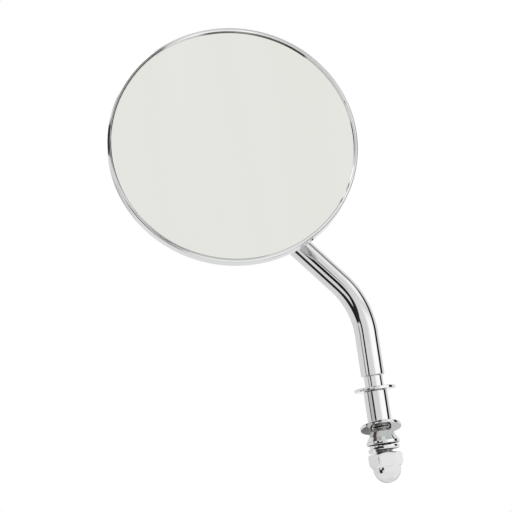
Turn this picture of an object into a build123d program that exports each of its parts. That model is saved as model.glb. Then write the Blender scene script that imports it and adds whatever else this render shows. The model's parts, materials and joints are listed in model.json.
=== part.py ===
from build123d import *
from math import acos, asin, cos, degrees, hypot, radians, sin, sqrt, tan
import os

# Left-hand motorcycle mirror: a round head on a ball swivel, a bent rod stem and a threaded fixing stud.
# Millimetres and degrees, +Z up along the stud, the glass facing -Y. The origin is on the stud's axis,
# at the underside of the upper washer, where the top of a handlebar bracket sits.

# Driving dimensions: glass and rolled rim
GLASS_D = 102.0         # glass disc, about four inches across
GLASS_T = 2.0
LIP_COVER = 0.6         # how far the lip reaches in over the glass
LIP_EDGE = 0.45         # bevel along the lip's folded edge
EDGE_ROOM = 0.25        # room round the glass and the shell's flange inside the rim
RIM_SHEET = 0.75        # the rim's sheet; its lip is this sheet folded double
RIM_CORNER = 1.0        # outer radius of the rim's front corner
SEAL_T = 0.8
SEAL_W = 2.4

# Driving dimensions: drawn back shell
SHELL_SHEET = 0.8
SHELL_DEPTH = 26.5      # from the flat pad at the back to the rim's front
FLANGE_W = 2.8          # flange that the rim folds round
FOLD_ROOM = 0.6         # between the rim's fold and the shell's wall
SKIRT = 3.0             # straight wall between flange and dome
SKIRT_CORNER = 5.0
PAD_D = 27.0            # flat pad where the ball stud is bolted on

# Driving dimensions: ball stud and what bolts it to the shell
BALL_D = 16.0
NECK_D = 7.0
NECK_GAP = 1.2          # between the socket's nose and the collar
COLLAR_AF = 11.0        # hexagon collar, across flats
COLLAR_T = 3.0
STUD_SCREW_D = 6.0      # threaded end of the ball stud
SCREW_ROOM = 0.15       # radial room round it in the shell, plate and washer
SCREW_END = 1.2         # thread that shows past the nut
END_CHAMFER = 0.6
PLATE_D = 25.0
PLATE_T = 1.5
INNER_LOCK_OD = 11.0
INNER_LOCK_T = 1.5
INNER_LOCK_SLIT = 1.2
INNER_NUT_AF = 10.0
INNER_NUT_T = 5.0

# Driving dimensions: socket and swivel
LINER_T = 1.5
LINER_HEEL = 140.0      # the liner ends this far round from its mouth's axis
SWIVEL_FIT = 0.1        # running clearance between ball, liner, cup and socket
PAN_SWING = 20.0        # the head turns this far to each side
TILT_SWING = 20.0       # and tips this far up and down
SWING_ROOM = 3.0        # the mouth is this much wider than the neck's swing
SOCKET_WALL = 3.1
BORE_STEP = 0.5         # the rear bore is this much larger than the seat, on the radius
CUP_RIM = 3.0           # the cup's rim stands this far behind the ball's centre
CUP_FLOOR = 1.8
CUP_EDGE = 0.5
SPRING_ROOM = 0.6       # round the disc springs in the bore
SPRING_HOLE = 9.4
SPRING_T = 0.8
SPRING_RISE = 0.6       # cone height of one disc spring
CAP_T = 4.5
CAP_SLOT_W = 2.0
CAP_SLOT_DEPTH = 2.0
SOCKET_CHAMFER = 0.8
BOSS_WALL = 1.6         # round the stem's end
BOSS_LENGTH = 9.0

# Driving dimensions: how the head is aimed in the photo
HEAD_TILT = 9.9         # glass looks up by this
HEAD_TURN = 7.8         # and towards +X by this

# Driving dimensions: stem
STEM_D = 10.0
BEND_ANGLE = 38.9
BEND_RADIUS = 36.7      # on the stem's centre line
BEND_HEIGHT = 31.1      # from the shoulder to the corner of the two straight runs
UPPER_RUN = 79.4        # from that corner to the ball's centre
BARE_SHANK = 5.0        # shank that shows between shoulder and upper washer
SHOULDER_EDGE = 0.4
SHANK_D = 7.94          # five sixteenths of an inch
THREAD_D = 7.3          # effective diameter of the thread
THREAD_TOP = 10.0       # the thread starts this far below the origin

# Driving dimensions: fixing hardware on the stud
WASHER_OD = 17.46
WASHER_ID = 8.73
WASHER_T = 1.3
SLEEVE_OD = 10.1
SLEEVE_LENGTH = 13.8
SLEEVE_EDGE = 0.4
HARDWARE_ROOM = 0.13    # radial room of sleeve, cone and lock washer on the shank
LOOSE_TILT = 13.0       # the lower washer hangs askew, its front edge up
SEAT_GAP = 0.05         # between the loose pieces where they rest on each other
CONE_TOP_D = 9.0
CONE_BASE_D = 14.1
CONE_HEIGHT = 5.5
CONE_RIM = 1.3
LOCK_OD = 13.3
LOCK_T = 1.65
LOCK_RISE = 2.0         # from the split washer's lower end to its upper end
LOCK_TURNS = 1.05       # its ends pass each other
LOCK_END_AT = 222.0     # where its lower end lies, from +X towards +Y
LOCK_LEAN = 4.0         # it lies askew, its front edge down
LOCK_STACK = 3.85       # height that it takes up like this
NUT_AF = 12.7
NUT_HEX_T = 6.0
NUT_HEIGHT = 12.5
NUT_TURN = 4.3          # the nut's flats are turned this far from facing front
NUT_TAPER_D = 11.9      # the hexagon's lower end is turned down to this
NUT_TAPER = 1.5         # and its corners start to go this far above that end
DOME_D = 11.7
NUT_BORE_DEPTH = 9.0
NUT_END_ROOM = 1.0      # between the stud's tip and the blind end
THREAD_FIT = 0.05       # between a thread and its mate, on the radius

# Worked out: radii and levels of the head, measured from the ball's centre along the head's axis
GLASS_R = GLASS_D / 2
LIP_R = GLASS_R - LIP_COVER
RIM_BORE_R = GLASS_R + EDGE_ROOM
RIM_R = RIM_BORE_R + RIM_SHEET
LIP_T = 2 * RIM_SHEET
SHELL_WALL_R = GLASS_R - FLANGE_W
BALL_R = BALL_D / 2
NECK_R = NECK_D / 2
LINER_IN_R = BALL_R + SWIVEL_FIT
LINER_OUT_R = LINER_IN_R + LINER_T
SEAT_R = LINER_OUT_R + SWIVEL_FIT
SOCKET_R = SEAT_R + SOCKET_WALL
SOCKET_BORE_R = SEAT_R + BORE_STEP
SWING = degrees(acos(cos(radians(PAN_SWING)) * cos(radians(TILT_SWING))))
STUD_REACH = SOCKET_R + NECK_GAP + COLLAR_T
FRONT = STUD_REACH + SHELL_DEPTH
GLASS_FRONT = FRONT - LIP_T
GLASS_BACK = GLASS_FRONT - GLASS_T
FLANGE_FRONT = GLASS_BACK - SEAL_T
FLANGE_BACK = FLANGE_FRONT - SHELL_SHEET
RIM_BACK = FLANGE_BACK - RIM_SHEET
PAD_INSIDE = STUD_REACH + SHELL_SHEET
PLATE_INSIDE = PAD_INSIDE + PLATE_T
LOCK_INSIDE = PLATE_INSIDE + INNER_LOCK_T
NUT_INSIDE = LOCK_INSIDE + INNER_NUT_T
SCREW_R = STUD_SCREW_D / 2
SCREW_HOLE_R = SCREW_R + SCREW_ROOM
CUP_R = SOCKET_BORE_R - SWIVEL_FIT
CUP_BACK = -SEAT_R - CUP_FLOOR
SPRING_FRONT = CUP_BACK - SWIVEL_FIT
SPRING_HEIGHT = SPRING_T + SPRING_RISE
CAP_FRONT = SPRING_FRONT - 2 * SPRING_HEIGHT - 2 * SEAT_GAP
SOCKET_BACK = CAP_FRONT - CAP_T

# Worked out: the stem's line, and levels on the stud
STEM_R = STEM_D / 2
SHANK_R = SHANK_D / 2
SHOULDER = WASHER_T + BARE_SHANK
CORNER = Vector(0, 0, SHOULDER + BEND_HEIGHT)
UPWARD = Vector(-sin(radians(BEND_ANGLE)), 0, cos(radians(BEND_ANGLE)))
BALL = CORNER + UPWARD * UPPER_RUN
HARDWARE_R = SHANK_R + HARDWARE_ROOM
WASHER_HALF = WASHER_T / 2 / cos(radians(LOOSE_TILT))
TILT_RISE = tan(radians(LOOSE_TILT))
LOWER_WASHER = -SLEEVE_LENGTH - SEAT_GAP - WASHER_HALF - (SLEEVE_OD / 2 - SLEEVE_EDGE) * TILT_RISE
CONE_TOP = LOWER_WASHER - WASHER_HALF - CONE_TOP_D / 2 * TILT_RISE - SEAT_GAP
CONE_BASE = CONE_TOP - CONE_HEIGHT
LOCK_TOP = CONE_BASE - SEAT_GAP
NUT_TOP = LOCK_TOP - LOCK_STACK - SEAT_GAP
STUD_TIP = NUT_TOP - NUT_BORE_DEPTH + NUT_END_ROOM

# The head's own frame: origin at the ball's centre, Z out of the glass, X level, Y up the glass
TILT = radians(HEAD_TILT)
TURN = radians(HEAD_TURN)
HEAD = Plane(
    origin=BALL,
    x_dir=(cos(TURN), sin(TURN), 0),
    z_dir=(cos(TILT) * sin(TURN), -cos(TILT) * cos(TURN), sin(TILT)),
).location


def turned(outline):
    """Solid of revolution about Z from a closed outline drawn as (radius, height)."""
    return revolve(Rot(90, 0, 0) * make_face(outline), Axis.Z)


def ring(inner, outer, low, high, edge=0.0):
    """Flat ring about Z, its two outer corners broken by a chamfer where an edge is given."""
    lower = [(outer - edge, low), (outer, low + edge)] if edge else [(outer, low)]
    upper = [(outer, high - edge), (outer - edge, high)] if edge else [(outer, high)]
    return turned(Polyline((inner, low), *lower, *upper, (inner, high), close=True))


def polar(angle, radius):
    """Point (radius, height) on a circle round the origin, the angle counted from the axis."""
    return radius * sin(radians(angle)), radius * cos(radians(angle))


def sphere_arc(radius, start, end):
    """Arc round the origin between two angles from the axis."""
    return ThreePointArc(polar(start, radius), polar((start + end) / 2, radius), polar(end, radius))


def hexagon(across_flats, low, high):
    """Hexagon prism with two of its flats facing along Y."""
    outline = RegularPolygon(across_flats / 2, 6, major_radius=False)
    return Pos(0, 0, low) * extrude(outline, high - low)


def chamfer_depth(across_flats):
    """How far the 30 degree chamfer on a hexagon's end reaches down its corners."""
    return (across_flats / sqrt(3) - across_flats / 2) * tan(radians(30))


def corner_cone(across_flats, low, high, end_d, depth):
    """Turned blank that takes the sharp corners off a hexagon, down to a diameter at its upper end."""
    corner = across_flats / sqrt(3)
    return turned(
        Polyline((0, low), (corner, low), (corner, high - depth), (end_d / 2, high), (0, high), close=True)
    )


def bezel_ring():
    """Rolled rim: a doubled lip in front of the glass, a wall, and a fold behind the shell's flange."""
    fold_r = SHELL_WALL_R + FOLD_ROOM
    corners = [
        ((LIP_R, GLASS_FRONT), 0),
        ((LIP_R, FRONT - LIP_EDGE), 0),
        ((LIP_R + LIP_EDGE, FRONT), 0),
        ((RIM_R, FRONT), RIM_CORNER),
        ((RIM_R, RIM_BACK), RIM_SHEET + EDGE_ROOM),
        ((fold_r, RIM_BACK), 0),
        ((fold_r, FLANGE_BACK), 0),
        ((RIM_BORE_R, FLANGE_BACK), 0),
        ((RIM_BORE_R, GLASS_FRONT), 0),
    ]
    points, radii = zip(*corners)
    return turned(FilletPolyline(*points, radius=list(radii), close=True))


def mirror_glass():
    """Flat disc held between lip and seal."""
    return ring(0, GLASS_R, GLASS_BACK, GLASS_FRONT)


def glass_seal():
    """Flat rubber ring that the glass is clamped on."""
    return ring(GLASS_R - SEAL_W, GLASS_R, FLANGE_FRONT, GLASS_BACK)


def back_shell():
    """Drawn sheet: flat pad, shallow dome on a centre on the axis, straight skirt and outward flange."""
    pad_r = PAD_D / 2
    edge = FLANGE_BACK - SKIRT
    wall_in = SHELL_WALL_R - SHELL_SHEET
    rise = edge - STUD_REACH
    centre = (SHELL_WALL_R**2 - pad_r**2 + edge**2 - STUD_REACH**2) / (2 * rise)
    outer = hypot(pad_r, centre - STUD_REACH)
    inner = outer - SHELL_SHEET

    def dome(radius, r):
        return r, centre - sqrt(radius**2 - r**2)

    pad_in = sqrt(inner**2 - (centre - PAD_INSIDE) ** 2)
    outer_corner = dome(outer, SHELL_WALL_R)
    inner_corner = dome(inner, wall_in)
    mid_r = (pad_r + SHELL_WALL_R) / 2
    outline = (
        Polyline((SCREW_HOLE_R, PAD_INSIDE), (SCREW_HOLE_R, STUD_REACH), (pad_r, STUD_REACH))
        + ThreePointArc((pad_r, STUD_REACH), dome(outer, mid_r), outer_corner)
        + Polyline(
            outer_corner,
            (SHELL_WALL_R, FLANGE_BACK),
            (GLASS_R, FLANGE_BACK),
            (GLASS_R, FLANGE_FRONT),
            (wall_in, FLANGE_FRONT),
            inner_corner,
        )
        + ThreePointArc(inner_corner, dome(inner, mid_r), (pad_in, PAD_INSIDE))
        + Line((pad_in, PAD_INSIDE), (SCREW_HOLE_R, PAD_INSIDE))
    )
    sheet = make_face(outline)
    for point, radius in ((outer_corner, SKIRT_CORNER), (inner_corner, SKIRT_CORNER - SHELL_SHEET)):
        sheet = fillet(sheet.vertices().sort_by_distance(Vector(*point))[0], radius)
    return revolve(Rot(90, 0, 0) * sheet, Axis.Z)


def ball_stud():
    """Ball, neck and threaded end turned in one, with a hexagon collar that bears on the shell."""
    end = NUT_INSIDE + SCREW_END
    neck_start = degrees(asin(NECK_R / BALL_R))
    body = turned(
        sphere_arc(BALL_R, 180, neck_start)
        + Polyline(
            polar(neck_start, BALL_R),
            (NECK_R, STUD_REACH),
            (SCREW_R, STUD_REACH),
            (SCREW_R, end - END_CHAMFER),
            (SCREW_R - END_CHAMFER, end),
            (0, end),
            (0, -BALL_R),
        )
    )
    return body + hexagon(COLLAR_AF, STUD_REACH - COLLAR_T, STUD_REACH)


def backing_plate():
    """Stiffening disc inside the shell."""
    return ring(SCREW_HOLE_R, PLATE_D / 2, PAD_INSIDE, PLATE_INSIDE)


def stud_lock_washer():
    """Split washer under the stud's nut, drawn flat as when tight."""
    washer = ring(SCREW_HOLE_R, INNER_LOCK_OD / 2, PLATE_INSIDE, LOCK_INSIDE)
    slit = Pos(INNER_LOCK_OD / 2, 0, LOCK_INSIDE) * Box(INNER_LOCK_OD, INNER_LOCK_SLIT, 3 * INNER_LOCK_T)
    return washer - slit


def stud_nut():
    """Plain hexagon nut on the ball stud's thread."""
    chamfer = chamfer_depth(INNER_NUT_AF)
    blank = hexagon(INNER_NUT_AF, LOCK_INSIDE, NUT_INSIDE)
    blank = blank & corner_cone(INNER_NUT_AF, LOCK_INSIDE, NUT_INSIDE, INNER_NUT_AF, chamfer)
    bore = ring(0, SCREW_R + THREAD_FIT, LOCK_INSIDE, NUT_INSIDE)
    return blank - bore


def ball_liner():
    """Spherical plastic liner, open at the front for the neck and at the back for snapping on."""
    mouth = TILT_SWING + degrees(asin(NECK_R / LINER_IN_R)) + SWING_ROOM
    return turned(
        sphere_arc(LINER_IN_R, mouth, LINER_HEEL)
        + Line(polar(LINER_HEEL, LINER_IN_R), polar(LINER_HEEL, LINER_OUT_R))
        + sphere_arc(LINER_OUT_R, LINER_HEEL, mouth)
        + Line(polar(mouth, LINER_OUT_R), polar(mouth, LINER_IN_R))
    )


def pressure_cup():
    """Cup with a spherical seat that the springs push against the liner."""
    rim = 180 - degrees(asin(sqrt(SEAT_R**2 - CUP_RIM**2) / SEAT_R))
    return turned(
        sphere_arc(SEAT_R, 180, rim)
        + Polyline(
            polar(rim, SEAT_R),
            (CUP_R, -CUP_RIM),
            (CUP_R, CUP_BACK + CUP_EDGE),
            (CUP_R - CUP_EDGE, CUP_BACK),
            (0, CUP_BACK),
            (0, -SEAT_R),
        )
    )


def to_stem():
    """Placement along the stem's upper run, from the ball's centre, in the head's frame."""
    local = HEAD.inverse() * Pos(CORNER)
    along = local.position.normalized()
    return Plane(origin=(0, 0, 0), z_dir=along).location


def ball_socket():
    """Barrel with a ball-shaped nose and a flared mouth, bored from behind, with a boss for the stem."""
    neck_angle = SWING + SWING_ROOM
    flare_r = 2 * SOCKET_R
    mouth_in = neck_angle + degrees(asin(NECK_R / SEAT_R))
    mouth_out = neck_angle + degrees(asin(NECK_R / flare_r))
    step = SWIVEL_FIT - CUP_RIM + BORE_STEP
    barrel = turned(
        sphere_arc(SOCKET_R, 0, 90)
        + Polyline(
            (SOCKET_R, 0),
            (SOCKET_R, SOCKET_BACK + SOCKET_CHAMFER),
            (SOCKET_R - SOCKET_CHAMFER, SOCKET_BACK),
            (0, SOCKET_BACK),
            (0, SOCKET_R),
        )
    )
    cavity = turned(
        Polyline(
            (0, SOCKET_BACK),
            (SOCKET_BORE_R, SOCKET_BACK),
            (SOCKET_BORE_R, step),
            (SEAT_R, step),
            (SEAT_R, 0),
        )
        + sphere_arc(SEAT_R, 90, mouth_in)
        + Polyline(
            polar(mouth_in, SEAT_R),
            polar(mouth_out, flare_r),
            (0, polar(mouth_out, flare_r)[1]),
            (0, SOCKET_BACK),
        )
    )
    boss_end = SOCKET_R + BOSS_LENGTH
    boss = to_stem() * ring(0, STEM_R + THREAD_FIT + BOSS_WALL, 0, boss_end, SOCKET_CHAMFER)
    rod_bore = to_stem() * ring(0, STEM_R + THREAD_FIT, SOCKET_R, boss_end)
    return barrel + boss - cavity - rod_bore


def disc_springs():
    """Two conical spring washers, set with their small ends together."""
    outer = SOCKET_BORE_R - SPRING_ROOM
    hole = SPRING_HOLE / 2

    def cone(rim, small):
        front = [(outer, rim), (hole, small)]
        back = [(hole, small - SPRING_T), (outer, rim - SPRING_T)]
        return turned(Polyline(*front, *back, close=True))

    middle = SPRING_FRONT - SPRING_HEIGHT - SEAT_GAP
    front = cone(SPRING_FRONT, SPRING_FRONT - SPRING_RISE)
    back = cone(middle - SPRING_RISE, middle)
    return Compound(children=[front.solid(), back.solid()])


def tension_cap():
    """Threaded plug that closes the socket, with a screwdriver slot."""
    plug = ring(0, SOCKET_BORE_R - THREAD_FIT, SOCKET_BACK, CAP_FRONT)
    slot = Pos(0, 0, SOCKET_BACK) * Box(2 * SOCKET_R, CAP_SLOT_W, 2 * CAP_SLOT_DEPTH)
    return plug - slot


def stem():
    """Rod with one bend, turned down at the foot to the shank and its thread."""
    rod_end = BALL - UPWARD * SOCKET_R
    route = FilletPolyline((0, 0, SHOULDER + SHOULDER_EDGE), CORNER, rod_end, radius=BEND_RADIUS)
    rod = sweep(Pos(0, 0, SHOULDER + SHOULDER_EDGE) * Circle(STEM_R), path=route)
    foot = turned(
        Polyline(
            (0, STUD_TIP),
            (THREAD_D / 2 - END_CHAMFER, STUD_TIP),
            (THREAD_D / 2, STUD_TIP + END_CHAMFER),
            (THREAD_D / 2, -THREAD_TOP),
            (SHANK_R, -THREAD_TOP + SHANK_R - THREAD_D / 2),
            (SHANK_R, SHOULDER),
            (STEM_R - SHOULDER_EDGE, SHOULDER),
            (STEM_R, SHOULDER + SHOULDER_EDGE),
            (0, SHOULDER + SHOULDER_EDGE),
            close=True,
        )
    )
    return rod + foot


def flat_washer():
    """Flat washer about the origin."""
    return ring(WASHER_ID / 2, WASHER_OD / 2, -WASHER_T / 2, WASHER_T / 2)


def spacer_sleeve():
    """Short sleeve that a bracket's eye sits on, its ends chamfered."""
    return ring(HARDWARE_R, SLEEVE_OD / 2, -SLEEVE_LENGTH, 0, SLEEVE_EDGE)


def cone_bush():
    """Tapered collar, small end up, with a short straight rim at its base."""
    return turned(
        Polyline(
            (HARDWARE_R, CONE_BASE),
            (CONE_BASE_D / 2, CONE_BASE),
            (CONE_BASE_D / 2, CONE_BASE + CONE_RIM),
            (CONE_TOP_D / 2, CONE_TOP),
            (HARDWARE_R, CONE_TOP),
            close=True,
        )
    )


def lock_washer():
    """Split spring washer: a flat bar carried round a left-hand helix, lying askew under the cone."""
    width = LOCK_OD / 2 - HARDWARE_R
    mean_r = LOCK_OD / 2 - width / 2
    spiral = Helix(LOCK_RISE / LOCK_TURNS, LOCK_RISE, mean_r, lefthand=True)
    bar = Plane(origin=spiral @ 0, x_dir=(1, 0, 0), z_dir=spiral % 0) * Rectangle(width, LOCK_T)
    coil = Rot(LOCK_LEAN, 0, 0) * Rot(0, 0, LOCK_END_AT) * sweep(bar, path=spiral, is_frenet=True)
    return Pos(0, 0, LOCK_TOP - coil.bounding_box().max.Z) * coil


def acorn_nut():
    """Hexagon nut with a domed, closed end below it."""
    hex_end = NUT_TOP - NUT_HEX_T
    hex_middle = NUT_TOP - NUT_HEX_T / 2
    dome_r = DOME_D / 2
    tip = NUT_TOP - NUT_HEIGHT
    dome_edge = tip + dome_r
    chamfer = chamfer_depth(NUT_AF)
    upper = corner_cone(NUT_AF, hex_end, NUT_TOP, NUT_AF, chamfer)
    taper = corner_cone(NUT_AF, hex_end, NUT_TOP, NUT_TAPER_D, NUT_TAPER)
    blank = hexagon(NUT_AF, hex_end, NUT_TOP) & upper
    blank = blank & Pos(0, 0, hex_end + NUT_TOP) * Rot(180, 0, 0) * taper
    dome = turned(
        Polyline((dome_r, dome_edge), (dome_r, hex_middle), (0, hex_middle), (0, tip))
        + RadiusArc((0, tip), (dome_r, dome_edge), -dome_r)
    )
    bore = ring(0, THREAD_D / 2 + THREAD_FIT, NUT_TOP - NUT_BORE_DEPTH, NUT_TOP)
    return Rot(0, 0, NUT_TURN) * (blank + dome - bore)


pieces = {
    "bezel_ring": HEAD * bezel_ring(),
    "mirror_glass": HEAD * mirror_glass(),
    "glass_seal": HEAD * glass_seal(),
    "back_shell": HEAD * back_shell(),
    "backing_plate": HEAD * backing_plate(),
    "ball_stud": HEAD * ball_stud(),
    "stud_lock_washer": HEAD * stud_lock_washer(),
    "stud_nut": HEAD * stud_nut(),
    "ball_liner": HEAD * ball_liner(),
    "pressure_cup": HEAD * pressure_cup(),
    "ball_socket": HEAD * ball_socket(),
    "disc_springs": HEAD * disc_springs(),
    "tension_cap": HEAD * tension_cap(),
    "stem": stem(),
    "upper_washer": Pos(0, 0, WASHER_T / 2) * flat_washer(),
    "spacer_sleeve": spacer_sleeve(),
    "lower_washer": Pos(0, 0, LOWER_WASHER) * Rot(-LOOSE_TILT, 0, 0) * flat_washer(),
    "cone_bush": cone_bush(),
    "lock_washer": lock_washer(),
    "acorn_nut": acorn_nut(),
}

os.makedirs("parts", exist_ok=True)
for name, piece in pieces.items():
    export_step(piece, f"parts/{name}.step")
    print(f"{name}: {piece.volume:.1f} mm3")
lock_box = pieces["lock_washer"].bounding_box()
print(f"split washer {lock_box.size.Z:.3f} high, {lock_box.min.Z - NUT_TOP:.3f} above the nut")
print(f"ball centre {BALL}, rim front {FRONT:.2f} from it, largest swing {SWING:.2f} degrees")
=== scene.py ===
# %% [markdown]
# A left-hand motorcycle mirror: a round glass in a rolled chrome rim, a domed back on a ball
# swivel, a bent rod, and the washers, sleeve, cone and domed nut that fasten it to a lever bracket.
# The solids come packed from CAD, and this lesson dresses them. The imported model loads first, as a
# fixed frame in metres that nothing here moves.

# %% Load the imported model
import json
import math

import bmesh
import bpy
import numpy as np
from mathutils import Matrix, Vector


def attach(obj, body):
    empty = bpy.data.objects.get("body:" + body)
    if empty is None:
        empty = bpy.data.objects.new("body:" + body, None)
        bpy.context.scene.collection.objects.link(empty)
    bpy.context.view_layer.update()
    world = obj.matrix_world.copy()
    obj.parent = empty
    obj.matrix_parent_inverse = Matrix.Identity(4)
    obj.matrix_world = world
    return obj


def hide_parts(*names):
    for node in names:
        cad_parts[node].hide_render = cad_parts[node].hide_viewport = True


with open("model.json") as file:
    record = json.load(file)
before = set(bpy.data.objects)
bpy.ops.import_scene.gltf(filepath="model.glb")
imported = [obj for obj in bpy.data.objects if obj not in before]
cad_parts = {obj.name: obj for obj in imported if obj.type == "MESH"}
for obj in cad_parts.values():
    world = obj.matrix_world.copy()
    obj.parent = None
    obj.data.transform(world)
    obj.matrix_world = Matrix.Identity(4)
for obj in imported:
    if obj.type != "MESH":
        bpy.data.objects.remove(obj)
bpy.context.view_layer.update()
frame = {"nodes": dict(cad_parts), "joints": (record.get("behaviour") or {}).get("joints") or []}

MM = 0.001
print("nodes:", ", ".join(sorted(frame["nodes"])))

# %% [markdown]
# Two places carry every piece. The stud stands on the origin, along Z. The head has a frame of its
# own at the ball's centre, Z out through the glass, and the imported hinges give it: they all pass
# through that centre, and their axes are the head's own directions. Taking the frame from the
# hinges, and not from numbers copied by hand, keeps the pieces on the ball if the aim changes.

# %% The stud's frame and the head's frame
joints = {joint["name"]: joint for joint in frame["joints"]}
BALL = np.array(joints["spin"]["pos_m"]) / MM
HEAD_Z = np.array(joints["spin"]["axis"])
HEAD_X = np.array(joints["tilt"]["axis"])
HEAD = (BALL, np.stack([HEAD_X, np.cross(HEAD_Z, HEAD_X), HEAD_Z]))
STUD = (np.zeros(3), np.eye(3))
print("ball centre, mm:", BALL.round(2), "glass looks along", HEAD_Z.round(3))

# %% [markdown]
# The camera stands where the photograph was taken: a little below the mirror, looking up by eight
# degrees, and rolled so that the stud leans as it does there. The lens is long, because far-off
# parts of the rim hardly shrink. These numbers were fitted to the outlines of the glass, the rod
# and the washers, which is surer than turning a camera by eye.

# %% Camera
LOOK_UP = math.radians(8.0)
ROLL = math.radians(-8.417)
DISTANCE = 1100.0
AIM = np.array([-41.655, 0.0, 64.519])
view = np.array([0.0, math.cos(LOOK_UP), math.sin(LOOK_UP)])
level = np.array([1.0, 0.0, 0.0])
upright = np.cross(level, view)
right = math.cos(ROLL) * level + math.sin(ROLL) * upright
up = math.cos(ROLL) * upright - math.sin(ROLL) * level
camera_data = bpy.data.cameras.new("camera")
camera_data.lens = 181.0
camera_data.sensor_width = 36.0
camera = bpy.data.objects.new("camera", camera_data)
bpy.context.scene.collection.objects.link(camera)
axes = Matrix((right, up, -view)).transposed()
camera.matrix_world = Matrix.Translation(Vector((AIM - DISTANCE * view) * MM)) @ axes.to_4x4()
bpy.context.scene.camera = camera
print("camera at, mm:", (AIM - DISTANCE * view).round(1))

# %% [markdown]
# The studio. Chrome and silvered glass have no colour of their own to speak of: they show the room.
# The room is white all round, at a strength of 1, for the camera and for reflections, and a little
# dimmer for the light that falls on matt things. The floor is pale paper. Reflections pass it by,
# so that the metal shows the white room and not the floor's edge.

# %% White room
scene = bpy.context.scene
scene.view_settings.view_transform = "Standard"
WHITE, MATT_LIGHT = "#FFFFFF", 0.8


def linear(hex_colour):
    """An sRGB hex colour as linear red, green, blue and alpha."""
    value = np.array([int(hex_colour[i:i + 2], 16) for i in (1, 3, 5)]) / 255
    value = np.where(value <= 0.04045, value / 12.92, ((value + 0.055) / 1.055) ** 2.4)
    return (*value.tolist(), 1.0)


def add(tree, kind, settings=None, links=None):
    """A node with its settings, on sockets or on the node itself, and what its inputs come from."""
    node = tree.nodes.new(kind)
    for key, value in (settings or {}).items():
        if isinstance(key, int) or key in node.inputs:
            node.inputs[key].default_value = value
        else:
            setattr(node, key, value)
    for key, source in (links or {}).items():
        tree.links.new(source, node.inputs[key])
    return node


world = bpy.data.worlds.new("white_room")
world.use_nodes = True
scene.world = world
room = world.node_tree
room.nodes.clear()
ray = add(room, "ShaderNodeLightPath")
seen = add(room, "ShaderNodeMath", {"operation": "MAXIMUM"},
           {0: ray.outputs["Is Camera Ray"], 1: ray.outputs["Is Glossy Ray"]})
seen = add(room, "ShaderNodeMath", {"operation": "MAXIMUM"},
           {0: seen.outputs[0], 1: ray.outputs["Is Transmission Ray"]})
plain = add(room, "ShaderNodeBackground", {"Color": linear(WHITE), "Strength": MATT_LIGHT})
white = add(room, "ShaderNodeBackground", {"Color": linear(WHITE), "Strength": 1.0})
mixed = add(room, "ShaderNodeMixShader", None,
            {0: seen.outputs[0], 1: plain.outputs[0], 2: white.outputs[0]})
add(room, "ShaderNodeOutputWorld", None, {"Surface": mixed.outputs[0]})
print("room: white for camera and reflections,", MATT_LIGHT, "for matt things")

# %% Pale floor, well below the stud
FLOOR, FLOOR_HALF = -120.0, 4000.0
sides = np.array([(-1, -1), (1, -1), (1, 1), (-1, 1)]) * FLOOR_HALF
floor_mesh = bpy.data.meshes.new("floor")
floor_mesh.from_pydata([(x * MM, y * MM, FLOOR * MM) for x, y in sides], [], [(0, 1, 2, 3)])
floor = bpy.data.objects.new("floor", floor_mesh)
scene.collection.objects.link(floor)
floor.visible_glossy = False
paper = bpy.data.materials.new("matt_white_paper")
paper.use_nodes = True
paper.node_tree.nodes["Principled BSDF"].inputs["Base Color"].default_value = linear("#F4F4F2")
paper.node_tree.nodes["Principled BSDF"].inputs["Roughness"].default_value = 0.9
floor_mesh.materials.append(paper)
print("floor at", FLOOR, "mm")

# %% [markdown]
# Cards make the lines in the chrome, as a photographer of silverware sets them round the work. White
# ones give the lights and dark ones the black lines, and a white one close to a piece keeps a dark
# one out of it. A card is a sheet bent round a centre, so it is set by the directions in which it is
# seen. Most hang 20 m off, where every piece sees them in the same direction, and some hang close to
# the one piece that they are for. Only reflections see them, and only on their inner side, so they
# neither shade the mirror nor stand in the picture. Each card hangs a little nearer than the one
# before it, so where two overlap, the later one shows.

# %% A card bent round a centre
STUDIO = np.array([-20.0, 0.0, 40.0])
FAR, CARD_GAP, CARD_STEPS = 20000.0, 0.003, 25
cards = []


def toward(azimuth, elevation):
    """Unit direction: azimuth from the camera's side towards +X, elevation above the level."""
    a, e = np.radians(azimuth), np.radians(elevation)
    return np.stack([np.sin(a) * np.cos(e), -np.cos(a) * np.cos(e), np.sin(e)], axis=-1)


def patch(left, right, low, high):
    """Four corners between two azimuths and two elevations, in degrees."""
    return [(left, low), (right, low), (right, high), (left, high)]


def card_board(name, glow_level, tint):
    """Card's glow, shown on its inner side where its cover is 1, and clear where that is 0."""
    board = bpy.data.materials.new(name)
    board.use_nodes = True
    tree = board.node_tree
    tree.nodes.clear()
    edge = add(tree, "ShaderNodeAttribute", {"attribute_name": "cover"})
    side_seen = add(tree, "ShaderNodeNewGeometry")
    shown = add(tree, "ShaderNodeMath", {"operation": "MULTIPLY"},
                {0: edge.outputs["Fac"], 1: side_seen.outputs["Backfacing"]})
    clear = add(tree, "ShaderNodeBsdfTransparent")
    glow = add(tree, "ShaderNodeEmission", {"Color": linear(tint), "Strength": glow_level})
    both = add(tree, "ShaderNodeMixShader", None,
               {0: shown.outputs[0], 1: clear.outputs[0], 2: glow.outputs[0]})
    add(tree, "ShaderNodeOutputMaterial", None, {"Surface": both.outputs[0]})
    return board


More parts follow.
